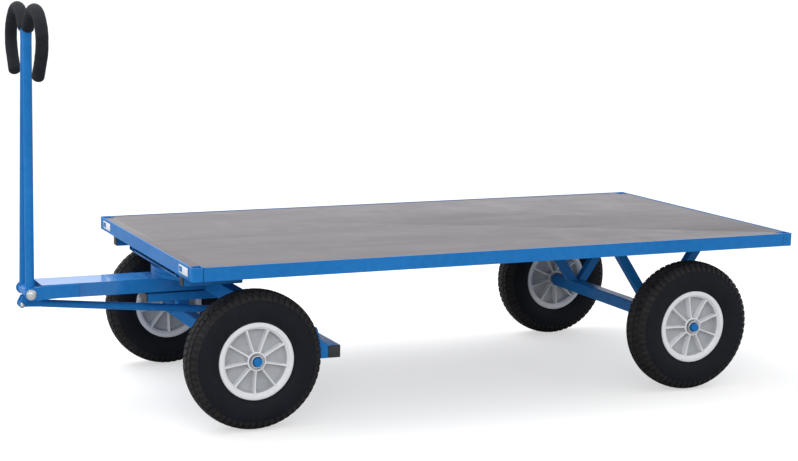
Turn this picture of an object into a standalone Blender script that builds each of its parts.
"""Platform trolley with a turntable-steered front bogie, pneumatic tyres and a drawbar-operated brake.

Metres. +X points forward, +Y to the cart's left, +Z up. The floor is at Z = 0 and the origin is
under the middle of the whole cart.
"""

import math

import bmesh
import bpy
from mathutils import Matrix, Vector

GAP = 0.0003  # between pieces that touch

# Deck
DECK_LENGTH = 2.0
DECK_WIDTH = 1.0
DECK_TOP = 0.493
DECK_X = -0.190  # middle of the deck
RAIL_HEIGHT = 0.040
RAIL_LEG = 0.034
RAIL_WALL = 0.004
SOCKET = 0.035
SOCKET_WALL = 0.003
BOARD = 0.015
UNDER_TUBE = 0.035

# Wheels and axles
WHEEL_RADIUS = 0.206
WHEEL_SIDES = 32
TYRE_WIDTH = 0.097
RIM_RADIUS = 0.114
WHEEL_Y = 0.430
FRONT_X = DECK_X + 0.796
REAR_X = DECK_X - 0.667
AXLE_BEAM = 0.040
AXLE_BEAM_END = 0.375
AXLE_RADIUS = 0.0125
AXLE_END = 0.482
STRUT_Y = 0.250
STRUT = 0.028

# Steering bogie
ARM_WIDTH = 0.114
ARM_TOP = 0.383
ARM_BOTTOM = 0.341
ARM_WALL = 0.004
BOLSTER_BOTTOM = 0.335
RING_OUTER = 0.170
RING_INNER = 0.125

# Drawbar and its hinge
HINGE_X = DECK_X + 1.358
HINGE_Z = 0.358
BARREL_RADIUS = 0.016
CHEEK = 0.006
BOLT_RADIUS = 0.008
TUBE_RADIUS = 0.01345
TUBE_LOW_Y = 0.042
TUBE_HIGH_Y = 0.0155
NECK_Z = 1.104
TUBE_WALL = 0.0026
LEAN = math.radians(0.8)  # how far the parked drawbar leans back from upright
GRIP_BORE = 0.0146  # clear of the corners of the tube's facets
GRIP_WALL = 0.0039

# Brake
LEVER = 0.042
LEVER_ANGLE = math.radians(25)  # forward of straight down with the drawbar upright
ROD_RADIUS = 0.0115
BRAKE_BEAM = 0.038
BRAKE_BEAM_X = DECK_X + 0.541
BRAKE_BEAM_Z = 0.208
SHOE_CLEARANCE = 0.0025
SHOE = 0.006

# Worked out from the above
AXLE_Z = WHEEL_RADIUS * math.cos(math.pi / WHEEL_SIDES)  # the tyre stands on one of its flats
RAIL_BOTTOM = DECK_TOP - RAIL_HEIGHT
LEDGE_TOP = RAIL_BOTTOM + RAIL_WALL
BOARD_BOTTOM = DECK_TOP - BOARD
UNDER_BOTTOM = RAIL_BOTTOM - UNDER_TUBE
PIN_X = HINGE_X + LEVER * math.sin(LEVER_ANGLE)
PIN_Z = HINGE_Z - LEVER * math.cos(LEVER_ANGLE)


def clear_scene():
    for old in list(bpy.data.objects):
        bpy.data.objects.remove(old, do_unlink=True)


clear_scene()
trolley = bpy.data.collections.new("platform_trolley")
bpy.context.scene.collection.children.link(trolley)
cutters = bpy.data.collections.new("cutters")
bpy.context.scene.collection.children.link(cutters)
cutters.hide_render = True


def make_material(name, colour, roughness, metallic=0.0):
    material = bpy.data.materials.new(name)
    material.use_nodes = True
    shader = material.node_tree.nodes["Principled BSDF"]
    shader.inputs["Base Color"].default_value = (*colour, 1.0)
    shader.inputs["Roughness"].default_value = roughness
    shader.inputs["Metallic"].default_value = metallic
    return material


PAINT = make_material("blue_paint", (0.018, 0.150, 0.480), 0.35)
BOARD_FACE = make_material("board", (0.270, 0.250, 0.255), 0.50)
RUBBER = make_material("tyre_rubber", (0.018, 0.019, 0.022), 0.75)
PLASTIC = make_material("rim_plastic", (0.560, 0.570, 0.590), 0.45)
ZINC = make_material("zinc", (0.620, 0.640, 0.660), 0.30, 1.0)
FOAM = make_material("grip_foam", (0.020, 0.020, 0.024), 0.85)


def pivot(name, place, parent=None):
    """An empty on a joint's axis, for the pieces that move with it."""
    empty = bpy.data.objects.new(name, None)
    empty.empty_display_size = 0.05
    trolley.objects.link(empty)
    empty.parent = parent
    empty.matrix_world = Matrix.Translation(place)
    bpy.context.view_layer.update()
    return empty


def add(name, data, material, matrix, parent=None):
    """A new object at this world matrix, with its one material."""
    piece = bpy.data.objects.new(name, data)
    trolley.objects.link(piece)
    data.materials.append(material)
    piece.parent = parent
    if parent:
        piece.matrix_parent_inverse = parent.matrix_world.inverted()
    piece.matrix_world = matrix
    return piece


def block(name, low, high, material, parent=None):
    """A box between two corners."""
    low, high = Vector(low), Vector(high)
    mesh = bpy.data.meshes.new(name)
    shape = bmesh.new()
    bmesh.ops.create_cube(shape, size=1.0)
    bmesh.ops.scale(shape, vec=high - low, verts=shape.verts)
    shape.to_mesh(mesh)
    shape.free()
    return add(name, mesh, material, Matrix.Translation((low + high) / 2), parent)


# Turns the outline's plane and its normal to face along a world axis.
FACING = {
    "X": Matrix(((0, 0, 1, 0), (1, 0, 0, 0), (0, 1, 0, 0), (0, 0, 0, 1))),
    "Y": Matrix(((1, 0, 0, 0), (0, 0, -1, 0), (0, 1, 0, 0), (0, 0, 0, 1))),
    "Z": Matrix.Identity(4),
}


def extruded(name, outlines, axis, centre, length, material, parent=None):
    """An outline, and any holes in it, drawn out along an axis.

    Points are (y, z) for axis X, (x, z) for axis Y and (x, y) for axis Z, measured from the centre.
    """
    curve = bpy.data.curves.new(name, "CURVE")
    curve.dimensions = "2D"
    curve.fill_mode = "BOTH"
    curve.extrude = length / 2
    for outline in outlines:
        spline = curve.splines.new("POLY")
        spline.points.add(len(outline) - 1)
        spline.use_cyclic_u = True
        for point, (u, v) in zip(spline.points, outline):
            point.co = (u, v, 0.0, 1.0)
    return add(name, curve, material, Matrix.Translation(centre) @ FACING[axis], parent)


def turned(name, profile, centre, material, parent=None, sides=16, ring=True, across=True):
    """A profile of (radius, along) points turned about Y, or about Z when across is False.

    The profile runs down its outer side first. A ring's profile closes on itself.
    """
    mesh = bpy.data.meshes.new(name)
    shape = bmesh.new()
    points = [shape.verts.new((radius, 0.0, along)) for radius, along in profile]
    ends = zip(points, points[1:] + points[:1]) if ring else zip(points, points[1:])
    for pair in ends:
        shape.edges.new(pair)
    shape.to_mesh(mesh)
    shape.free()
    half_side = Matrix.Rotation(math.pi / sides, 4, "Z")
    turn = Matrix.Rotation(math.radians(90), 4, "X") if across else Matrix.Identity(4)
    piece = add(name, mesh, material, Matrix.Translation(centre) @ turn @ half_side, parent)
    screw = piece.modifiers.new("Turn", "SCREW")
    screw.steps = sides
    screw.render_steps = sides
    screw.use_merge_vertices = True
    screw.merge_threshold = 0.0001
    return piece


def rod(name, radius, low, high, centre, material, parent=None, sides=16):
    """A solid cylinder along Y, between two distances from its centre."""
    profile = [(0.0, high), (radius, high), (radius, low), (0.0, low)]
    return turned(name, profile, centre, material, parent, sides, ring=False)


def tube_path(name, points, radius, material, parent=None):
    """A curve object through points, round in section."""
    curve = bpy.data.curves.new(name, "CURVE")
    curve.dimensions = "3D"
    curve.bevel_depth = radius
    curve.bevel_resolution = 3
    spline = curve.splines.new("POLY")
    spline.points.add(len(points) - 1)
    for point, place in zip(spline.points, points):
        point.co = (*place, 1.0)
    return add(name, curve, material, Matrix.Identity(4), parent)


def as_mesh(piece):
    """Replaces a curve object by a mesh object with welded caps."""
    graph = bpy.context.evaluated_depsgraph_get()
    mesh = bpy.data.meshes.new_from_object(piece.evaluated_get(graph))
    shape = bmesh.new()
    shape.from_mesh(mesh)
    bmesh.ops.remove_doubles(shape, verts=shape.verts, dist=0.00001)
    shape.to_mesh(mesh)
    shape.free()
    name, matrix, parent = piece.name, piece.matrix_world.copy(), piece.parent
    inverse = piece.matrix_parent_inverse.copy()
    bpy.data.objects.remove(piece, do_unlink=True)
    solid = bpy.data.objects.new(name, mesh)
    trolley.objects.link(solid)
    solid.parent = parent
    solid.matrix_parent_inverse = inverse
    solid.matrix_world = matrix
    return solid


def joined(piece, other):
    """Joins another solid to this one."""
    trolley.objects.unlink(other)
    cutters.objects.link(other)
    other.hide_render = True
    other.display_type = "WIRE"
    union = piece.modifiers.new("Join", "BOOLEAN")
    union.operation = "UNION"
    union.object = other
    return piece


def arc(centre, radius, start, end, count):
    """Points on an arc, angles in degrees."""
    steps = [math.radians(start + (end - start) * i / (count - 1)) for i in range(count)]
    return [(centre[0] + radius * math.cos(a), centre[1] + radius * math.sin(a)) for a in steps]


def circle(centre, radius, count=16):
    return arc(centre, radius, 0, 360, count + 1)[:-1]


def rectangle(width, height, corner=0.0):
    """A centred rectangle, with its corners cut off when corner is given."""
    u, v = width / 2, height / 2
    if not corner:
        return [(-u, -v), (u, -v), (u, v), (-u, v)]
    c = corner
    return [
        (-u + c, -v), (u - c, -v), (u, -v + c), (u, v - c),
        (u - c, v), (-u + c, v), (-u, v - c), (-u, -v + c),
    ]


def hollow(name, axis, low, high, material, parent=None, wall=0.003):
    """A rectangular tube between two corners, open at both ends along the axis."""
    low, high = Vector(low), Vector(high)
    size = high - low
    width, height, length = {
        "X": (size.y, size.z, size.x), "Y": (size.x, size.z, size.y), "Z": (size.x, size.y, size.z),
    }[axis]
    outlines = [rectangle(width, height, 0.002), rectangle(width - 2 * wall, height - 2 * wall)]
    return extruded(name, outlines, axis, (low + high) / 2, length, material, parent)


# Deck ------------------------------------------------------------------------------------------

HALF_LENGTH = DECK_LENGTH / 2
HALF_WIDTH = DECK_WIDTH / 2
SIDES = (("left", 1), ("right", -1))
ENDS = (("front", 1), ("rear", -1))


def angle_section(outward):
    """Section of an edge rail: an upright wall outside and a ledge inwards at its foot."""
    points = [
        (0.0, 0.0), (0.0, RAIL_HEIGHT), (-RAIL_WALL, RAIL_HEIGHT),
        (-RAIL_WALL, RAIL_WALL), (-RAIL_LEG, RAIL_WALL), (-RAIL_LEG, 0.0),
    ]
    return [(outward * u, v) for u, v in points]


def make_rails():
    inset = 2 * (SOCKET + GAP)
    for name, sign in ENDS:
        place = (DECK_X + sign * HALF_LENGTH, 0.0, RAIL_BOTTOM)
        extruded(f"rail_{name}", [angle_section(sign)], "Y", place, DECK_WIDTH - inset, PAINT)
    for name, sign in SIDES:
        place = (DECK_X, sign * HALF_WIDTH, RAIL_BOTTOM)
        extruded(f"rail_{name}", [angle_section(sign)], "X", place, DECK_LENGTH - inset, PAINT)


def make_sockets():
    """A short upright square tube in each corner, open at the top for a plug-in side wall."""
    outline = rectangle(SOCKET, SOCKET, 0.004)
    hole = rectangle(SOCKET - 2 * SOCKET_WALL, SOCKET - 2 * SOCKET_WALL)
    for end, along in ENDS:
        for side, across in SIDES:
            x = DECK_X + along * (HALF_LENGTH - SOCKET / 2)
            y = across * (HALF_WIDTH - SOCKET / 2)
            centre = (x, y, RAIL_BOTTOM + RAIL_HEIGHT / 2)
            extruded(f"socket_{end}_{side}", [outline, hole], "Z", centre, RAIL_HEIGHT, PAINT)


def make_board():
    """The deck board, notched at its corners round the sockets."""
    u = HALF_LENGTH - RAIL_WALL - GAP
    v = HALF_WIDTH - RAIL_WALL - GAP
    nu = HALF_LENGTH - SOCKET - GAP
    nv = HALF_WIDTH - SOCKET - GAP
    outline = [
        (nu, -v), (nu, -nv), (u, -nv), (u, nv), (nu, nv), (nu, v),
        (-nu, v), (-nu, nv), (-u, nv), (-u, -nv), (-nu, -nv), (-nu, -v),
    ]
    centre = (DECK_X, 0.0, DECK_TOP - BOARD / 2)
    extruded("deck_board", [outline], "Z", centre, BOARD, BOARD_FACE)


def make_underframe():
    """Cross members under the board, two long members below them, and a short tube at each front corner."""
    reach = HALF_WIDTH - RAIL_WALL - GAP
    for number, x in enumerate((-0.75, 0.0, 0.70), 1):
        low = (DECK_X + x - 0.020, -reach, LEDGE_TOP + GAP)
        high = (DECK_X + x + 0.020, reach, BOARD_BOTTOM - GAP)
        hollow(f"cross_member_{number}", "Y", low, high, PAINT)
    ends = HALF_LENGTH - RAIL_LEG - GAP
    for name, sign in SIDES:
        y = sign * STRUT_Y
        low = (DECK_X - ends, y - UNDER_TUBE / 2, UNDER_BOTTOM)
        high = (DECK_X + ends, y + UNDER_TUBE / 2, LEDGE_TOP)
        hollow(f"long_member_{name}", "X", low, high, PAINT)
        y = sign * 0.360
        low = (DECK_X + 0.812, y - UNDER_TUBE / 2, UNDER_BOTTOM)
        high = (DECK_X + 0.985, y + UNDER_TUBE / 2, RAIL_BOTTOM - GAP)
        hollow(f"corner_tube_{name}", "X", low, high, PAINT)


# Wheels ------------------------------------------------------------------------------------------

TYRE_SECTION = [  # (radius, distance from the wheel's middle plane), down the outside, back inside
    (0.1010, 0.0295), (0.1150, 0.0345), (0.1500, TYRE_WIDTH / 2), (0.1880, 0.0410), (WHEEL_RADIUS, 0.0220),
]
TYRE_INSIDE = [(0.1870, 0.0260), (0.1400, 0.0380), (0.1010, 0.0180)]


def mirrored(section):
    """The section and its mirror image, as one run from the +Y side to the -Y side."""
    return section + [(radius, -along) for radius, along in reversed(section)]


def make_wheel(name, centre):
    hub = pivot(f"pivot_wheel_{name}", centre, STEERING if name.startswith("front") else None)
    casing = mirrored(TYRE_SECTION) + [(r, -a) for r, a in TYRE_INSIDE[::-1]] + TYRE_INSIDE
    turned(f"tyre_{name}", casing, centre, RUBBER, hub, WHEEL_SIDES)
    bead = 0.1005
    face = [(0.0195, 0.0400), (0.0290, 0.0400), (0.0330, 0.0120), (0.0930, 0.0100), (0.0980, 0.0378)]
    flange = [(RIM_RADIUS, 0.0378), (RIM_RADIUS, 0.0354), (bead, 0.0304)]
    turned(f"rim_{name}", mirrored(face + flange), centre, PLASTIC, hub, WHEEL_SIDES)
    bore = AXLE_RADIUS + GAP
    sleeve = [(bore, 0.0430), (0.0190, 0.0430), (0.0190, -0.0430), (bore, -0.0430)]
    turned(f"bearing_{name}", sleeve, centre, ZINC, hub)


def make_axle(name, x, parent=None):
    """A square beam with the round axle bar that runs through it."""
    outline = rectangle(AXLE_BEAM, AXLE_BEAM, 0.003)
    hole = circle((0.0, 0.0), AXLE_RADIUS + GAP)
    centre = (x, 0.0, AXLE_Z)
    extruded(f"{name}_axle_beam", [outline, hole], "Y", centre, 2 * AXLE_BEAM_END, PAINT, parent)
    rod(f"{name}_axle_bar", AXLE_RADIUS, -AXLE_END, AXLE_END, centre, PAINT, parent)


def make_rear_struts():
    """A V of two struts at each side, from the rear axle beam up to the long members."""
    foot = AXLE_Z + AXLE_BEAM / 2 + GAP
    head = UNDER_BOTTOM - GAP
    half = STRUT * 0.6
    spread = 0.148
    for side, across in SIDES:
        for end, along in ENDS:
            low = along * (half + 0.001)
            high = along * spread
            outline = [(low - half, foot), (low + half, foot), (high + half, head), (high - half, head)]
            centre = (REAR_X, across * STRUT_Y, 0.0)
            extruded(f"rear_strut_{side}_{end}", [outline], "Y", centre, STRUT, PAINT)


# Steering bogie ------------------------------------------------------------------------------------------

STEERING = pivot("pivot_steering", (FRONT_X, 0.0, AXLE_Z))


def make_turntable():
    plate_top = UNDER_BOTTOM - GAP
    plate_bottom = plate_top - 0.006
    low = (FRONT_X - 0.180, -0.268, plate_bottom)
    high = (FRONT_X + 0.160, 0.268, plate_top)
    block("turntable_plate", low, high, PAINT)
    lower = ARM_TOP + GAP
    middle = (lower + plate_bottom) / 2
    for name, bottom, top, parent in (
        ("upper", middle + 0.0005, plate_bottom - GAP, None),
        ("lower", lower, middle - 0.0005, STEERING),
    ):
        section = [(RING_OUTER, top), (RING_OUTER, bottom), (RING_INNER, bottom), (RING_INNER, top)]
        turned(f"turntable_{name}_ring", section, (FRONT_X, 0.0, 0.0), PAINT, parent, 36, across=False)


def make_bogie():
    half = AXLE_BEAM / 2
    low = (FRONT_X - half, -0.345, BOLSTER_BOTTOM)
    high = (FRONT_X + half, 0.345, ARM_TOP)
    hollow("steering_bolster", "Y", low, high, PAINT, STEERING)
    for name, sign in SIDES:
        y = sign * STRUT_Y
        low = (FRONT_X - half, y - 0.020, AXLE_Z + half + GAP)
        high = (FRONT_X + half, y + 0.020, BOLSTER_BOTTOM - GAP)
        hollow(f"front_post_{name}", "Z", low, high, PAINT, STEERING)


def make_arm():
    """The steering arm, a channel open below, and the box that stiffens its root."""
    start = FRONT_X + AXLE_BEAM / 2 + GAP
    end = HINGE_X - 0.033
    u, height = ARM_WIDTH / 2, ARM_TOP - ARM_BOTTOM
    section = [
        (-u, 0.0), (-u, height), (u, height), (u, 0.0), (u - ARM_WALL, 0.0),
        (u - ARM_WALL, height - ARM_WALL), (-u + ARM_WALL, height - ARM_WALL), (-u + ARM_WALL, 0.0),
    ]
    centre = ((start + end) / 2, 0.0, ARM_BOTTOM)
    extruded("steering_arm", [section], "X", centre, end - start, PAINT, STEERING)
    low = (FRONT_X - 0.090, -0.045, 0.308)
    high = (FRONT_X + 0.200, 0.045, BOLSTER_BOTTOM - GAP)
    hollow("arm_stay", "X", low, high, PAINT, STEERING)


def make_hinge():
    """Cheek plates at the arm's front end, with the bolt through them."""
    nose = arc((0.0, 0.0), 0.0195, 80, -100, 13)
    outline = [(-0.145, 0.022), (-0.145, -0.014), (-0.060, -0.0165)] + nose[::-1] + [(-0.030, 0.022)]
    hole = circle((0.0, 0.0), BOLT_RADIUS + GAP)
    middle = ARM_WIDTH / 2 + GAP + CHEEK / 2
    for name, sign in SIDES:
        centre = (HINGE_X, sign * middle, HINGE_Z)
        extruded(f"hinge_cheek_{name}", [outline, hole], "Y", centre, CHEEK, PAINT, STEERING)
    face = middle + CHEEK / 2 + GAP
    centre = (HINGE_X, 0.0, HINGE_Z)
    shank = [
        (0.0, face + 0.013), (BOLT_RADIUS, face + 0.013), (BOLT_RADIUS, -face),
        (0.0135, -face), (0.0135, -face - 0.009), (0.0, -face - 0.009),
    ]
    turned("hinge_bolt", shank, centre, ZINC, STEERING, 12, ring=False)
    bore = BOLT_RADIUS + GAP
    nut = [(bore, face + 0.011), (0.0135, face + 0.011), (0.0135, face), (bore, face)]
    turned("hinge_nut", nut, centre, ZINC, STEERING, 12)


# Drawbar ------------------------------------------------------------------------------------------

DRAWBAR = pivot("pivot_drawbar", (HINGE_X, 0.0, HINGE_Z), STEERING)


def leaning(y, z):
    """A point in the plane of the parked drawbar."""
    return (HINGE_X - (z - HINGE_Z) * math.tan(LEAN), y, z)


def loop_points(sign):
    """Centre line of a handle loop: out of the neck, over the top, then down and back in."""
    neck = [(TUBE_HIGH_Y, NECK_Z), (0.0172, 1.118), (0.0205, 1.131), (0.0290, 1.144)]
    crown = arc((0.1165, 1.0955), 0.0965, 138, 12, 11)
    tail = [(0.2090, 1.084), (0.1930, 1.051), (0.1530, 0.996)]
    line = neck + crown + tail
    return [leaning(sign * y, z) for y, z in line]


def make_drawbar():
    centre = (HINGE_X, 0.0, HINGE_Z)
    half = ARM_WIDTH / 2 - GAP
    inside = BOLT_RADIUS + GAP
    section = [(inside, half), (BARREL_RADIUS, half), (BARREL_RADIUS, -half), (inside, -half)]
    turned("drawbar_barrel", section, centre, PAINT, DRAWBAR)
    foot = HINGE_Z + BARREL_RADIUS + 2 * GAP
    for name, sign in SIDES:
        line = loop_points(sign)
        path = [leaning(sign * TUBE_LOW_Y, foot)] + line
        tube = tube_path(f"drawbar_tube_{name}", path, TUBE_RADIUS, PAINT, DRAWBAR)
        bore = tube.modifiers.new("Wall", "SOLIDIFY")
        bore.thickness = TUBE_WALL
        bore.offset = -1.0
        grip = tube_path(f"grip_{name}", line[2:], GRIP_BORE, FOAM, DRAWBAR)
        wall = grip.modifiers.new("Wall", "SOLIDIFY")
        wall.thickness = GRIP_WALL
        wall.offset = 1.0


def make_levers():
    """Two plates that hang from the barrel, either side of the brake rod's eye."""
    outline = [(0.009, -0.0172)] + arc((0.0, -LEVER), 0.010, 0, -180, 9) + [(-0.009, -0.0172)]
    cos, sin = math.cos(LEVER_ANGLE), math.sin(LEVER_ANGLE)
    swung = [(u * cos - v * sin, u * sin + v * cos) for u, v in outline]
    for name, sign in SIDES:
        centre = (HINGE_X, sign * 0.014, HINGE_Z)
        extruded(f"brake_lever_{name}", [swung], "Y", centre, 0.006, PAINT, DRAWBAR)


# Brake ------------------------------------------------------------------------------------------

BRAKE = pivot("pivot_brake", (BRAKE_BEAM_X, 0.0, BRAKE_BEAM_Z), STEERING)


def make_brake_rod():
    """The tube from the drawbar's lever back to the brake beam, with a flat eye at its front."""
    rest = BRAKE_BEAM_Z + BRAKE_BEAM / 2 + GAP + ROD_RADIUS
    back = Vector((BRAKE_BEAM_X - 0.015, 0.0, rest + 0.001))
    front = Vector((PIN_X - 0.060, 0.0, PIN_Z - 0.002))
    tube = tube_path("brake_rod", [back, front], ROD_RADIUS, PAINT, BRAKE)
    tube.data.use_fill_caps = True
    tube = as_mesh(tube)
    tip = arc((0.0, 0.0), 0.0095, 90, -90, 9)
    outline = [(-0.085, 0.0075)] + tip + [(-0.085, -0.0095)]
    hole = circle((0.0, 0.0), 0.0045, 10)
    eye = extruded("brake_rod_eye", [outline, hole], "Y", (PIN_X, 0.0, PIN_Z), 0.008, PAINT, BRAKE)
    joined(tube, as_mesh(eye))


def make_brake_beam():
    half = BRAKE_BEAM / 2
    low = (BRAKE_BEAM_X - half, -0.428, BRAKE_BEAM_Z - half)
    high = (BRAKE_BEAM_X + half, 0.428, BRAKE_BEAM_Z + half)
    hollow("brake_beam", "Y", low, high, PAINT, BRAKE)
    inner = WHEEL_RADIUS + SHOE_CLEARANCE
    face = BRAKE_BEAM_X + half + GAP
    for name, sign in SIDES:
        centre = (FRONT_X, AXLE_Z)
        curve = arc(centre, inner, 159, 184.4, 9)
        back = [(face, BRAKE_BEAM_Z - half), (face, BRAKE_BEAM_Z + half)]
        back += arc(centre, inner + SHOE, 169, 159, 3)
        outline = curve + back
        extruded(f"brake_shoe_{name}", [outline], "Y", (0.0, sign * 0.400, 0.0), 0.056, PAINT, BRAKE)


make_rails()
make_sockets()
make_board()
make_underframe()
make_turntable()
make_bogie()
make_arm()
make_hinge()
make_drawbar()
make_levers()
make_brake_rod()
make_brake_beam()
for axle_name, axle_x, axle_parent in (("front", FRONT_X, STEERING), ("rear", REAR_X, None)):
    make_axle(axle_name, axle_x, axle_parent)
    for side_name, side_sign in SIDES:
        make_wheel(f"{axle_name}_{side_name}", (axle_x, side_sign * WHEEL_Y, AXLE_Z))
make_rear_struts()

for item in trolley.objects:
    if item.type == "MESH":
        item.data.shade_smooth()
        item.data.set_sharp_from_angle(angle=math.radians(35))
